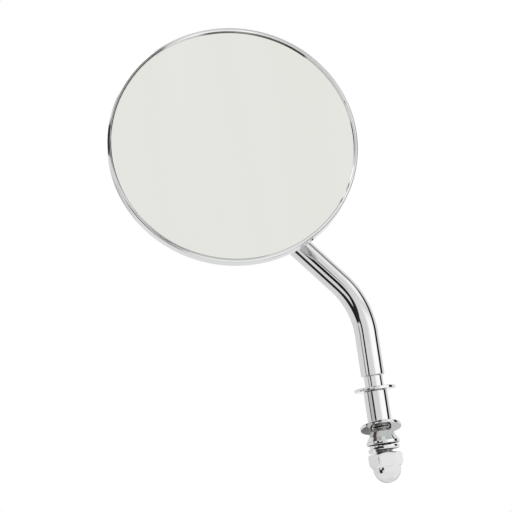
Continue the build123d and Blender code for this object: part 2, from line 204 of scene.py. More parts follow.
def hang(name, glow_level, corners, soft=0.25, tint=WHITE, distance=FAR, about=STUDIO):
    """Card on a sphere about a centre: azimuth and elevation run evenly between its four corners.

    It glows at its level, where 1 is the room's white. Its cover rises in a smooth step from 0 on
    the border to 1 inside, over the soft share of its width, so the room shows through its edge.
    """
    side = np.linspace(0, 1, CARD_STEPS)
    s, t = np.meshgrid(side, side, indexing="ij")
    c = np.array(corners, float)[:, :, None, None]
    angles = (1 - s) * (1 - t) * c[0] + s * (1 - t) * c[1] + s * t * c[2] + (1 - s) * t * c[3]
    nearer = 1 - (len(cards) + 1) * CARD_GAP
    points = np.array(about) + distance * nearer * toward(angles[0], angles[1])
    index = np.arange(CARD_STEPS**2).reshape(CARD_STEPS, CARD_STEPS)
    quads = np.stack([index[:-1, :-1], index[1:, :-1], index[1:, 1:], index[:-1, 1:]], axis=-1)
    mesh = bpy.data.meshes.new(name)
    mesh.from_pydata((points.reshape(-1, 3) * MM).tolist(), [], quads.reshape(-1, 4).tolist())
    border = np.stack([s, 1 - s, t, 1 - t])
    ramp = np.clip(border / soft, 0, 1) if soft else np.ones_like(border)
    cover = np.prod(ramp**2 * (3 - 2 * ramp), axis=0)
    mesh.attributes.new("cover", "FLOAT", "POINT").data.foreach_set("value", cover.ravel())
    mesh.materials.append(card_board(name, glow_level, tint))
    item = bpy.data.objects.new(name, mesh)
    scene.collection.objects.link(item)
    item.visible_camera = item.visible_diffuse = item.visible_shadow = item.visible_transmission = False
    cards.append(item)


# %% White lights: in front, at the right, below, and over the rim's top left
OVER_RIM_LEFT = {"distance": 60.0, "about": (-82, -42, 140)}
hang("card_light_front", 1.5, [(12, -14), (100, -14), (100, 22), (12, 20)], soft=0.32)
hang("card_light_high", 1.4, [(36, 20), (94, 20), (94, 46), (42, 46)], soft=0.35)
hang("card_light_low", 1.6, patch(-34, 64, -60, -27), soft=0.25)
hang("card_light_top", 1.8, [(-178, 22), (-46, 50), (-46, 88), (-178, 88)], soft=0.08, **OVER_RIM_LEFT)
print(len(cards), "cards hung")

# %% Dark boards for the rod: a tall one at the right, and a stand low at the left
hang("card_right", 0.01, [(83, -12), (112, -12), (112, 20), (85, 20)], soft=0.05)
hang("card_right_high", 0.02, [(86, 18), (114, 18), (114, 33), (90, 33)], soft=0.06)
hang("card_right_top", 0.12, patch(90, 112, 31, 46), soft=0.12)
hang("card_right_low", 0.03, [(56, -40), (78, -46), (100, -8), (80, -4)], soft=0.08)
hang("card_left_line_a", 0.02, [(-44, -1), (-29, -1), (-30, 9), (-45, 9)], soft=0.05)
hang("card_left_line_b", 0.3, [(-76, -1), (-63, -1), (-62, 9), (-75, 9)], soft=0.2)
hang("card_left", 0.02, [(-76, -20), (-44, -20), (-36, 0), (-74, -0.5)], soft=0.1)
hang("card_left_foot", 0.02, [(-78, -42), (-46, -42), (-46, -14), (-74, -14)], soft=0.1)
hang("card_left_arm", 0.03, [(-58, -9), (-18, -6.5), (-18, 1.0), (-58, 0)], soft=0.1)
hang("card_left_tip", 0.01, [(-26, -13), (-3, -7), (-3, 3.5), (-24, 0.5)], soft=0.1)
print(len(cards), "cards hung")

# %% Grey board with two dark bars, close to the sleeve at its left
BY_SLEEVE = {"distance": 40.0, "about": (0, 0, -4)}
SLEEVE_LOW, SLEEVE_HIGH = -10.3, 10.5
hang("card_sleeve", 0.7, patch(-84, -28, SLEEVE_LOW, SLEEVE_HIGH), soft=0.05, **BY_SLEEVE)
hang("card_sleeve_a", 0.01, patch(-44, -30, SLEEVE_LOW, SLEEVE_HIGH), soft=0.05, **BY_SLEEVE)
hang("card_sleeve_b", 0.05, patch(-84, -74, SLEEVE_LOW, SLEEVE_HIGH), soft=0.05, **BY_SLEEVE)
print(len(cards), "cards hung")

# %% Boards for the rim's round edge, and a dark one where the camera shows in its inner wall
TINT_RED, TINT_GREEN = "#FF9599", "#F4FFF7"
BEFORE_RIM_TOP = {"distance": 250.0, "about": (-30, -44, 150)}
hang("card_rim_left", 0.03, [(-57, 26), (9, 29), (9, 34), (-57, 45)], soft=0.05, tint=TINT_RED)
hang("card_rim_far", 0.03, [(-146, 12), (-56, 26), (-56, 45), (-146, 26)], soft=0.05, tint=TINT_RED)
hang("card_rim_low", 0.03, [(-6, 5), (12, 20.5), (7, 26.5), (-13, 19)], soft=0.06)
hang("card_rim_top", 0.01, [(-18, 38), (6, 32.8), (17, 35.5), (-2, 64)], soft=0.06)
hang("card_rim_green", 0.76, patch(26, 150, 47, 86), soft=0.1, tint=TINT_GREEN)
hang("card_camera", 0.08, [(-10, -13), (17, -16), (17, -8), (-9, -4)], soft=0.12, **BEFORE_RIM_TOP)
hang("card_behind_left", 0.5, patch(-178, -148, -10, 14), soft=0.4)
print(len(cards), "cards hung")

# %% Boards for the cone, brown at its left, and black and grey ones behind for what faces down
TINT_BROWN = "#FFDCD0"
BY_WASHERS = {"distance": 60.0, "about": (0, 0, -8)}
hang("card_cone", 0.12, [(-106, 40), (-62, 54), (-58, 66), (-106, 58)], soft=0.15, tint=TINT_BROWN)
hang("card_cone_low", 0.12, [(-92, -53), (-46, -51), (-46, -37), (-92, -41)], soft=0.12, tint=TINT_BROWN)
hang("card_cone_right", 0.04, [(104, 36), (113, 36), (113, 56), (105, 56)], soft=0.12)
hang("card_cone_right_low", 0.04, [(78, -54), (88, -54), (87, -38), (77, -38)], soft=0.12)
hang("card_under", 0.02, patch(170, 190, -30, -13), soft=0.08, **BY_WASHERS)
hang("card_under_grey", 0.68, patch(140, 220, -62, -31), soft=0.1, **BY_WASHERS)
print(len(cards), "cards hung")

# %% White boards that keep the low dark ones out of the nut's dome and the rim
BY_DOME = {"distance": 40.0, "about": (0, 0, -34)}
BESIDE_RIM = {"distance": 135.0, "about": (0, -38, 120)}
hang("card_dome_white", 1.15, patch(5, 125, -62, 14), soft=0.0, **BY_DOME)
hang("card_dome_white_front", 1.15, patch(-28, 6, -27, 14), soft=0.15, **BY_DOME)
hang("card_dome_white_left", 1.1, patch(-110, 50, -80, -25), soft=0.0, **BY_DOME)
hang("card_rim_white", 1.0, patch(-70.5, -46, -24, 6), soft=0.0, **BESIDE_RIM)
hang("card_rim_white_high", 1.0, patch(-86, -66, 15, 42), soft=0.0, **BESIDE_RIM)
print(len(cards), "cards hung")

# %% Dark boards for the left half of the washer that hangs askew and for the nut's left edge
BY_NUT = {"distance": 40.0, "about": (0, 0, -33.5)}
hang("card_under_left", 0.14, patch(171, 203, -66, -20), soft=0.5, **BY_WASHERS)
hang("card_nut_edge", 0.01, patch(-82, 0, 5, 12.5), soft=0.04, **BY_NUT)
print(len(cards), "cards hung")

# %% [markdown]
# A wide soft box in front, at the right, lights what is matt: the floor, the rubber and the nylon.
# Neither the camera nor a reflection sees it, because the white cards already stand for it there.

# %% Soft box
SOFT_BOX, BOX_STRENGTH, BOX_DISTANCE = (1.0, 0.62), 1.5, 1350.0
box_side = toward(38.0, 30.0)
box_light = bpy.data.lights.new("soft_box", "AREA")
box_light.shape = "RECTANGLE"
box_light.size, box_light.size_y = SOFT_BOX
box_light.energy = BOX_STRENGTH * math.pi * SOFT_BOX[0] * SOFT_BOX[1]
soft_box = bpy.data.objects.new("soft_box", box_light)
scene.collection.objects.link(soft_box)
soft_box.location = Vector((STUDIO + BOX_DISTANCE * box_side) * MM)
soft_box.rotation_euler = Vector(box_side).to_track_quat("Z", "Y").to_euler()
soft_box.visible_camera = soft_box.visible_glossy = False
print("soft box", SOFT_BOX, "m, at", BOX_DISTANCE, "mm")

# %% [markdown]
# Bright chrome is a skin of chromium a fraction of a micron thick on polished nickel. It mirrors
# about two thirds of the light. A perfect mirror would look drawn, so the polishing haze makes its
# roughness drift over some 12 mm, its colour drifts by a trace, and a very shallow ripple of about
# 6 mm, left by the polishing wheel, bends the reflections. The small hardware is polished less.

# %% Chrome
HAZE_SIZE, HAZE_LOW, HAZE_HIGH = 12.0, 0.3, 0.7
RIPPLE_SIZE, RIPPLE_DEPTH = 6.0, 0.05


def material(name):
    """A new material, its tree, its shader and its Object coordinates."""
    new = bpy.data.materials.new(name)
    new.use_nodes = True
    tree = new.node_tree
    return new, tree, tree.nodes["Principled BSDF"], add(tree, "ShaderNodeTexCoord").outputs["Object"]


def chrome_finish(name, bright, dull, smooth, hazy, ripple):
    """Chromium plate: the colour and the roughness each drift between two values."""
    new, tree, shader, place = material(name)
    shader.inputs["Metallic"].default_value = 1.0
    haze = add(tree, "ShaderNodeTexNoise", {"Scale": 1 / (HAZE_SIZE * MM), "Detail": 3.0}, {"Vector": place})
    tone = add(tree, "ShaderNodeMix", {"data_type": "RGBA", 6: linear(bright), 7: linear(dull)},
               {0: haze.outputs["Fac"]})
    rough = add(tree, "ShaderNodeMapRange",
                {"From Min": HAZE_LOW, "From Max": HAZE_HIGH, "To Min": smooth, "To Max": hazy},
                {"Value": haze.outputs["Fac"]})
    wave = add(tree, "ShaderNodeTexNoise", {"Scale": 1 / (RIPPLE_SIZE * MM), "Detail": 1.0},
               {"Vector": place})
    bump = add(tree, "ShaderNodeBump", {"Strength": ripple, "Distance": RIPPLE_DEPTH * MM},
               {"Height": wave.outputs["Fac"]})
    tree.links.new(tone.outputs[2], shader.inputs["Base Color"])
    tree.links.new(rough.outputs["Result"], shader.inputs["Roughness"])
    tree.links.new(bump.outputs["Normal"], shader.inputs["Normal"])
    print("finish:", name)
    return new


chrome = chrome_finish("bright_chrome_plate", "#D6D7D6", "#CBCCCC", smooth=0.02, hazy=0.06, ripple=0.05)
plated = chrome_finish("plated_hardware", "#DADBDA", "#CDCECD", smooth=0.06, hazy=0.14, ripple=0.10)

# %% [markdown]
# The stud's thread was rolled into the steel before plating. Its flanks are nearly as bright as the
# rod, and duller in patches where grease sits in the grooves. The bores of the washers, the sleeve
# and the cone, and the cone's underside, get a dark rough steel that is painted shade: it stands in
# for the shadow in the gaps and makes the black rings and lines between the pieces.

# %% Thread steel, and painted shade for the bores
def grained(name, light, dark, grain, rough_low, rough_high, detail=4.0):
    """A material whose colour and roughness both follow one noise, with its grain given in mm."""
    new, tree, shader, place = material(name)
    noise = add(tree, "ShaderNodeTexNoise", {"Scale": 1 / (grain * MM), "Detail": detail}, {"Vector": place})
    tone = add(tree, "ShaderNodeMix", {"data_type": "RGBA", 6: linear(light), 7: linear(dark)},
               {0: noise.outputs["Fac"]})
    rough = add(tree, "ShaderNodeMapRange", {"To Min": rough_low, "To Max": rough_high},
                {"Value": noise.outputs["Fac"]})
    tree.links.new(tone.outputs[2], shader.inputs["Base Color"])
    tree.links.new(rough.outputs["Result"], shader.inputs["Roughness"])
    print("finish:", name)
    return new, tree, shader, noise.outputs["Fac"]


def worked_metal(*look, **more):
    """Metal with a rolled, cut or plated grain."""
    new, tree, shader, noise = grained(*look, **more)
    shader.inputs["Metallic"].default_value = 1.0
    return new


thread_steel = worked_metal("rolled_thread_steel", "#D0D0CE", "#8E8C88", 1.5, 0.08, 0.2)
# Dark rough steel that is painted shade, for the shadow in the bores and the gaps between pieces
bore_painted_shade = worked_metal("painted_shade_bore_steel", "#3A3836", "#1C1B1A", 0.8, 0.35, 0.6)

# %% [markdown]
# Nearly everything on this mirror was turned on a lathe, rolled or drawn round an axis. So one
# function carries an outline round an axis and gives a grid of points, and another turns a grid
# into a mesh. Bright chrome shows every facet of a mesh, so the corners of an outline are rounded
# by short arcs: real edges are a little broken too, and the thin lights along them make the metal.
# Weighted normals leave the shading of the large faces flat, so that only the arcs turn the light.

# %% Outlines and turned grids
def rounded(corners, radii, steps=6):
    """Closed outline with each corner cut by an arc of its own radius.

    The arc leaves the incoming side at radius times the tangent of half the turn before the
    corner, and swings about a centre one radius to the inside. A corner of radius 0 stays a point.
    """
    corner, radius = np.array(corners, float), np.array(radii, float)
    side = np.roll(corner, -1, axis=0) - corner
    after = side / np.linalg.norm(side, axis=1, keepdims=True)
    before = np.roll(after, 1, axis=0)
    cross = before[:, 0] * after[:, 1] - before[:, 1] * after[:, 0]
    turn = np.arctan2(cross, (before * after).sum(axis=1))
    inward = np.sign(turn)[:, None] * np.stack([-before[:, 1], before[:, 0]], axis=1)
    reach = radius * np.tan(np.abs(turn) / 2)
    centre = corner - before * reach[:, None] + inward * radius[:, None]
    count = np.where(radius > 0, steps + 1, 1)
    which = np.repeat(np.arange(len(corner)), count)
    step = np.arange(len(which)) - np.repeat(np.cumsum(count) - count, count)
    swing = (np.abs(turn)[which] * step / steps)[:, None]
    spoke = before[which] * np.sin(swing) - inward[which] * np.cos(swing)
    return centre[which] + radius[which][:, None] * spoke


def carried(radius, height, angle, place):
    """Points at x = r cos a, y = r sin a, z = height about a place's axis."""
    local = np.stack([radius * np.cos(angle), radius * np.sin(angle), radius * 0 + height], axis=-1)
    return place[0] + local @ place[1]


def turned(outline, place, steps=192):
    """Outline (radius, height) carried round an axis, as on a lathe."""
    angle = np.linspace(0, 2 * np.pi, steps, endpoint=False)
    return carried(np.repeat(outline[:, :1], steps, axis=1), outline[:, 1:], angle, place)


# %% Meshes from grids, and what each one rides on
WELD = 1e-8  # metres


def skin(name, points, closed=True, sharp=35.0):
    """Mesh over a grid of points in mm: columns join round, and rows too where the form is closed.

    Each quad joins two neighbours in a row to the same two in the next. Points that meet at a pole
    are merged, faces turn outwards, and only edges over the sharp angle keep a hard line.
    """
    rows, columns = points.shape[:2]
    strips = rows if closed else rows - 1
    row, column = np.meshgrid(np.arange(strips), np.arange(columns), indexing="ij")
    low, high = row * columns, (row + 1) % rows * columns
    beside = (column + 1) % columns
    quads = np.stack([low + column, low + beside, high + beside, high + column], axis=-1)
    mesh = bpy.data.meshes.new(name)
    mesh.from_pydata((points.reshape(-1, 3) * MM).tolist(), [], quads.reshape(-1, 4).tolist())
    work = bmesh.new()
    work.from_mesh(mesh)
    bmesh.ops.remove_doubles(work, verts=work.verts, dist=WELD)
    bmesh.ops.recalc_face_normals(work, faces=work.faces)
    work.to_mesh(mesh)
    work.free()
    mesh.shade_smooth()
    mesh.set_sharp_from_angle(angle=math.radians(sharp))
    piece = bpy.data.objects.new(name, mesh)
    bpy.context.scene.collection.objects.link(piece)
    weighted = piece.modifiers.new("weighted_normals", "WEIGHTED_NORMAL")
    weighted.keep_sharp = True
    return piece


def points_of(mesh):
    """The vertices of a mesh, as rows of x, y and z."""
    points = np.empty(len(mesh.vertices) * 3)
    mesh.vertices.foreach_get("co", points)
    return points.reshape(-1, 3)


def fit(piece, body, slot, *nodes):
    """The piece rides on a body and stands for the nodes named; its slot is not used."""
    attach(piece, body)
    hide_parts(*nodes)
    box = np.ptp(points_of(piece.data), axis=0) / MM
    print(f"{piece.name}: {len(piece.data.polygons)} faces, {box.round(1)} mm, on {body}")


# %% [markdown]
# The rim is one strip of sheet, rolled: its front is folded double over the glass as a narrow lip,
# its wall goes back past the shell's flange, and its rear edge is folded in behind the flange. The
# photograph shows a bright line on the lip's inner edge, then a rounded front corner. It could be
# a torus, but only its real section puts each reflection on its own band.

# %% Rolled rim
GLASS_R, GLASS_FRONT = 51.0, 42.0
LIP_R, LIP_EDGE, FRONT = 50.4, 0.45, 43.5
RIM_R, RIM_BORE_R, RIM_BACK = 52.0, 51.25, 37.65
SHELL_WALL_R, FLANGE_FRONT, FLANGE_BACK, FOLD_GAP = 48.2, 39.2, 38.4, 0.6
FOLD_R = SHELL_WALL_R + FOLD_GAP
ROLLED, LIP_IN, LIP_OUT, FOLDED, BROKEN = 1.0, 0.3, 0.12, 0.3, 0.08
rim_section = rounded(
    [(LIP_R, GLASS_FRONT), (LIP_R, FRONT - LIP_EDGE), (LIP_R + LIP_EDGE, FRONT), (RIM_R, FRONT),
     (RIM_R, RIM_BACK), (FOLD_R, RIM_BACK), (FOLD_R, FLANGE_BACK), (RIM_BORE_R, FLANGE_BACK),
     (RIM_BORE_R, GLASS_FRONT)],
    [BROKEN, LIP_IN, LIP_OUT, ROLLED, ROLLED, FOLDED, BROKEN, BROKEN, BROKEN], steps=8)
rim = skin("rolled_rim", turned(rim_section, HEAD, steps=288))
rim.data.materials.append(chrome)
fit(rim, "head_body", "chrome_plate", "bezel_ring")

# %% [markdown]
# The back is drawn from one disc: a flat pad, a shallow dome, a straight skirt and an outward
# flange for the rim to grip. A scaled sphere would lack the pad and the skirt, so the section is
# drawn once outside and once inside, a sheet's thickness apart. The dome and its corner with the
# skirt are two arcs that touch, so the chrome runs over the corner without a line.

# %% Drawn back shell: where its arcs lie
SHEET, PAD_R, PAD_BACK, SCREW_HOLE_R = 0.8, 13.5, 17.0, 3.15
SKIRT, SKIRT_CORNER, FLANGE_CORNER = 3.0, 5.0, 0.4
skirt_edge = FLANGE_BACK - SKIRT
dome_centre = (SHELL_WALL_R**2 - PAD_R**2 + skirt_edge**2 - PAD_BACK**2) / (2 * (skirt_edge - PAD_BACK))
dome_r = math.hypot(PAD_R, dome_centre - PAD_BACK)
corner_r = SHELL_WALL_R - SKIRT_CORNER
corner_z = dome_centre - math.sqrt((dome_r - SKIRT_CORNER) ** 2 - corner_r**2)
meet = 180 - math.degrees(math.atan2(corner_r, dome_centre - corner_z))
print("dome's radius, mm:", round(dome_r, 1))


# %% Drawn back shell
def arc(centre, radius, start, end, steps):
    """Points (radius, height) on a circle, angles in degrees from the axis."""
    angle = np.radians(np.linspace(start, end, steps))
    return np.array(centre) + radius * np.stack([np.sin(angle), np.cos(angle)], axis=1)


def shell_side(offset, pad_z, flange_r, flange_z):
    """One side of the sheet from the screw's hole to the flange, each arc drawn in by the offset."""
    pad_r = math.sqrt((dome_r - offset) ** 2 - (dome_centre - pad_z) ** 2)
    start = 180 - math.degrees(math.asin(pad_r / (dome_r - offset)))
    wall_r = SHELL_WALL_R - offset
    return np.concatenate([
        [(SCREW_HOLE_R, pad_z)],
        arc((0, dome_centre), dome_r - offset, start, meet, steps=40),
        arc((corner_r, corner_z), SKIRT_CORNER - offset, meet, 90, steps=12),
        rounded([(wall_r, flange_z - 2 * FLANGE_CORNER), (wall_r, flange_z), (flange_r, flange_z)],
                [0, FLANGE_CORNER, 0]),
    ])


shell_section = np.concatenate([
    shell_side(0.0, PAD_BACK, GLASS_R, FLANGE_BACK),
    shell_side(SHEET, PAD_BACK + SHEET, GLASS_R, FLANGE_FRONT)[::-1],
])
shell = skin("drawn_back_shell", turned(shell_section, HEAD, steps=256))
shell.data.materials.append(chrome)
fit(shell, "head_body", "chrome_plate", "back_shell")

# %% [markdown]
# The ball stud is turned from one bar: ball, neck, a collar with six flats for a spanner, and a
# threaded end inside the shell. The flats are milled from the round collar, so a lathe function
# makes it again, with the hexagon as a limit on the radius between the collar's two faces.

# %% Milling six flats
FLAT_STEPS, EDGE_STEPS, TOUCH = 14, 11, 1e-6


def milled(outline, place, flats, between, edge, turn=0.0):
    """Outline carried round an axis, then milled to a hexagon between two heights.

    There the radius is at most a hexagon's: on a flat, half the width across flats over the cosine
    of the angle from the flat's middle. Round a corner it ends on a circle of the edge's radius,
    set where that circle touches both flats.
    """
    half, corner_at = flats / 2, math.pi / 6
    reach = math.atan((1 - edge / half) * math.tan(corner_at))
    on_flat = np.linspace(-reach, reach, FLAT_STEPS)
    on_edge = np.linspace(reach, 2 * corner_at - reach, EDGE_STEPS)[1:-1]
    sixth = np.concatenate([on_flat, on_edge])
    off = np.tile(sixth, 6)
    flat_middle = corner_at + np.repeat(np.arange(6) * np.pi / 3, len(sixth))
    angle = math.radians(turn) + flat_middle + off
    hub, swing = (half - edge) / math.cos(corner_at), off - corner_at
    corner = hub * np.cos(swing) + np.sqrt(np.clip(edge**2 - (hub * np.sin(swing)) ** 2, 0, None))
    hexagon = np.where(off > reach, corner, half / np.cos(off))
    radius, height = np.repeat(outline[:, :1], len(angle), axis=1), outline[:, 1:]
    cut = (height >= between[0] - TOUCH) & (height <= between[1] + TOUCH)
    return carried(np.where(cut, np.minimum(radius, hexagon), radius), height, angle, place)


# %% Ball stud
BALL_R, NECK_R, NECK_START, NECK_FILLET = 8.0, 3.5, 9.0, 0.6
COLLAR_AF, COLLAR_T, COLLAR_EDGE = 11.0, 3.0, 0.2
SCREW_R, SCREW_TIP, SCREW_CHAMFER = 3.0, 27.0, 0.6
collar_r, collar_back = COLLAR_AF / math.sqrt(3), PAD_BACK - COLLAR_T
neck_angle = math.degrees(math.asin(NECK_R / BALL_R))
ball_section = np.concatenate([
    arc((0, 0), BALL_R, 180, neck_angle, steps=40),
    rounded([(NECK_R, NECK_START), (NECK_R, collar_back), (collar_r, collar_back), (collar_r, PAD_BACK),
             (SCREW_R, PAD_BACK), (SCREW_R, SCREW_TIP - SCREW_CHAMFER),
             (SCREW_R - SCREW_CHAMFER, SCREW_TIP), (0, SCREW_TIP)], [0, NECK_FILLET, 0, 0, 0, 0, 0, 0]),
])
ball_points = milled(ball_section, HEAD, COLLAR_AF, (collar_back, PAD_BACK), COLLAR_EDGE)
ball = skin("turned_ball_stud", ball_points, closed=False)
ball.data.materials.append(chrome)
fit(ball, "head_body", "chrome_plate", "ball_stud")

# %% [markdown]
# The socket holds the ball: a barrel with a ball-shaped nose, a flared mouth that lets the neck
# swing, and a bore from behind. The flare leaves the neck room at the far corner of its swing, where
# pan and tilt are both at their limits. Its slope runs from the seat to where the neck would stand
# at twice the barrel's radius, and it ends where it meets the nose.

# %% Socket barrel: its flared mouth
SOCKET_R, SEAT_R, BORE_R = 12.8, 9.7, 10.2
SWING_LIMIT, SWING_ROOM = math.radians(20.0), 3.0
swing = math.degrees(math.acos(math.cos(SWING_LIMIT) ** 2)) + SWING_ROOM


def polar(angle, radius):
    """Point (radius, height) round the ball's centre, the angle in degrees from the head's axis."""
    return np.array([radius * math.sin(math.radians(angle)), radius * math.cos(math.radians(angle))])


mouth_in = swing + math.degrees(math.asin(NECK_R / SEAT_R))
mouth_far = swing + math.degrees(math.asin(NECK_R / (2 * SOCKET_R)))
flare_start, flare_end = polar(mouth_in, SEAT_R), polar(mouth_far, 2 * SOCKET_R)
flare = (flare_end - flare_start) / np.linalg.norm(flare_end - flare_start)
along = -flare_start @ flare
lip = flare_start + flare * (along + math.sqrt(along**2 - SEAT_R**2 + SOCKET_R**2))
lip_angle = math.degrees(math.atan2(*lip))
print("socket's mouth opens at, degrees:", round(lip_angle, 1))

# %% Socket barrel
SOCKET_BACK, SOCKET_CHAMFER, BORE_STEP, NOSE_START = -19.0, 0.8, -2.4, -0.5
BORE_EDGE, BACK_EDGE = 0.15, 0.2
barrel_section = np.concatenate([
    arc((0, 0), SEAT_R, mouth_in, 90, steps=24),
    rounded([(SEAT_R, BORE_STEP), (BORE_R, BORE_STEP), (BORE_R, SOCKET_BACK),
             (SOCKET_R - SOCKET_CHAMFER, SOCKET_BACK), (SOCKET_R, SOCKET_BACK + SOCKET_CHAMFER),
             (SOCKET_R, NOSE_START)], [0, 0, BORE_EDGE, BACK_EDGE, BACK_EDGE, 0]),
    arc((0, 0), SOCKET_R, 90, lip_angle, steps=32),
])
barrel = skin("socket_barrel", turned(barrel_section, HEAD))
barrel.data.materials.append(chrome)
fit(barrel, "stem_body", "chrome_plate", "ball_socket")

# %% [markdown]
# A short boss on the socket's side takes the end of the rod, and the two are brazed, with a small
# hollow fillet of braze round the joint. The fillet follows the curve where a cylinder meets the
# barrel, which has a formula, so it is a curve carried round that joint.

# %% Boss on the socket's side
STEM_R, CORNER_Z = 5.0, 37.4
BOSS_R, BOSS_START, BOSS_END, BOSS_FIT = 6.65, 10.4, 21.8, 0.05
BOSS_EDGES = [0.1, 0.1, 0.7, 0.15]
upper_run = BALL - np.array([0.0, 0.0, CORNER_Z])
upward = upper_run / np.linalg.norm(upper_run)
BEND_ANGLE = math.acos(upward[2])
across = HEAD_Z - (HEAD_Z @ upward) * upward
across = across / np.linalg.norm(across)
DOWN_STEM = (BALL, np.stack([across, np.cross(-upward, across), -upward]))
bore = STEM_R + BOSS_FIT
boss_section = rounded([(bore, BOSS_START), (BOSS_R, BOSS_START), (BOSS_R, BOSS_END), (bore, BOSS_END)],
                       BOSS_EDGES)
boss = skin("stem_boss", turned(boss_section, DOWN_STEM, steps=128))
boss.data.materials.append(chrome)
fit(boss, "stem_body", "chrome_plate")

# %% Braze round the joint
BRAZE, BRAZE_LAP, BRAZE_ROOT = 1.1, 0.05, 0.4
BRAZE_SIDES, FILLET_STEPS = 144, 9


def joint_curve(radius, angle):
    """Where a cylinder of this radius about the rod meets the barrel.

    In front of the ball's centre the barrel is a sphere, so the reach down the rod is the root of
    the two radii's squares' difference; behind it the barrel is a cylinder about the head's axis,
    and the reach solves a quadratic.
    """
    k = -(HEAD_Z @ upward)
    m = math.sqrt(1 - k * k)
    reach = np.full_like(angle, math.sqrt(SOCKET_R**2 - radius**2))
    front = reach * k + radius * np.cos(angle) * m
    b = -2 * k * m * radius * np.cos(angle)
    c = radius**2 * (1 - (m * np.cos(angle)) ** 2) - SOCKET_R**2
    behind = (-b + np.sqrt(b * b - 4 * m * m * c)) / (2 * m * m)
    reach = np.where(front > 0, reach, behind)
    return np.stack([radius * np.cos(angle), radius * np.sin(angle), reach], axis=-1)


angle = np.linspace(0, 2 * np.pi, BRAZE_SIDES, endpoint=False)
at_joint, on_barrel = joint_curve(BOSS_R - BRAZE_LAP, angle), joint_curve(BOSS_R + BRAZE, angle)
on_boss = at_joint + np.array([0.0, 0.0, BRAZE])
s = np.linspace(0, 1, FILLET_STEPS)[:, None, None]
fillet = (1 - s) ** 2 * on_boss + 2 * s * (1 - s) * at_joint + s**2 * on_barrel
inside = joint_curve(BOSS_R - BRAZE_ROOT, angle) - np.array([0.0, 0.0, BRAZE_ROOT])
braze_points = np.concatenate([fillet, inside[None]])
braze = skin("braze_fillet", DOWN_STEM[0] + braze_points @ DOWN_STEM[1])
braze.data.materials.append(chrome)
fit(braze, "stem_body", "chrome_plate")

# %% [markdown]
# The rod and its stud are one bar, so they are one piece here: a circle carried along a line that
# runs up the stud, round one bend and on to the boss, with its radius stepping in at the shoulder.
# On the stud's lower end the radius also follows a rolled thread, a screw ridge that climbs one
# pitch for each turn, and it fades out in the nut, where nobody sees it.

# %% Stem and stud: radius, place and lean along the bar
SHANK_R, SHOULDER, THREAD_TOP = 3.97, 6.3, -10.0
BEND_R, BEND_STEPS = 36.7, 49
SHOULDER_EDGE, SHOULDER_FILLET = 0.25, 0.4
TIP_R, TIP_BREAK, THREAD_START = 3.0, 0.1, 0.6
RUNOUT_DEPTH, RUNOUT_START, RUNOUT_END = 0.3, 0.1, 0.5
INCH, THREADS_PER_INCH, PITCH_STEPS, THREAD_MEAN = 25.4, 18, 12, 3.64
PITCH = INCH / THREADS_PER_INCH


def span(node):
    """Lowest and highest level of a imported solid, in mm."""
    solid = frame["nodes"][node]
    to_world = np.array(solid.matrix_world)
    height = (points_of(solid.data) @ to_world[2, :3] + to_world[2, 3]) / MM
    return height.min(), height.max()


STUD_TIP, NUT_TOP = span("stem")[0], span("acorn_nut")[1]
bend_start = CORNER_Z - BEND_R * math.tan(BEND_ANGLE / 2)
run = np.linalg.norm(upper_run) - BEND_R * math.tan(BEND_ANGLE / 2) - SOCKET_R
thread_z = np.arange(STUD_TIP + THREAD_START, THREAD_TOP, PITCH / PITCH_STEPS)
foot = np.concatenate([
    [(0, STUD_TIP), (TIP_R - TIP_BREAK, STUD_TIP), (TIP_R, STUD_TIP + TIP_BREAK)],
    np.stack([np.full_like(thread_z, THREAD_MEAN), thread_z], axis=1),
    rounded([(SHANK_R - RUNOUT_DEPTH, THREAD_TOP + RUNOUT_START), (SHANK_R, THREAD_TOP + RUNOUT_END),
             (SHANK_R, SHOULDER), (STEM_R, SHOULDER), (STEM_R, bend_start)],
            [0, 0, SHOULDER_EDGE, SHOULDER_FILLET, 0]),
])
bend = np.linspace(0, BEND_ANGLE, BEND_STEPS)[1:]
bend_x, bend_z = BEND_R * (np.cos(bend) - 1), bend_start + BEND_R * np.sin(bend)
rod_end = np.array([bend_x[-1], bend_z[-1]]) + run * upward[[0, 2]]
stations = np.concatenate([
    np.stack([foot[:, 0], foot[:, 0] * 0, foot[:, 1]], axis=1),
    np.stack([np.full_like(bend, STEM_R), bend_x, bend_z], axis=1),
    [(STEM_R, *rod_end), (0, *rod_end)],
])
lean = np.concatenate([np.zeros(len(foot)), bend, [BEND_ANGLE, BEND_ANGLE]])[:, None]
print("bar:", len(stations), "rings, bent by", round(math.degrees(BEND_ANGLE), 1), "degrees")

# %% Stem and stud: thread and mesh
RIDGE, FADE_IN_NUT, FADE_AT_TOP, STEM_SIDES = 0.28, 1.5, 0.8, 120


def two_finishes(piece, finish, other, chosen):
    """One finish all over the piece, and another on its chosen faces."""
    piece.data.materials.append(finish)
    piece.data.materials.append(other)
    piece.data.polygons.foreach_set("material_index", chosen.astype(np.int32))


def face_middles(mesh):
    """The middle of each face of a mesh, as rows of x, y and z."""
    middles = np.empty(len(mesh.polygons) * 3)
    mesh.polygons.foreach_get("center", middles)
    return middles.reshape(-1, 3)


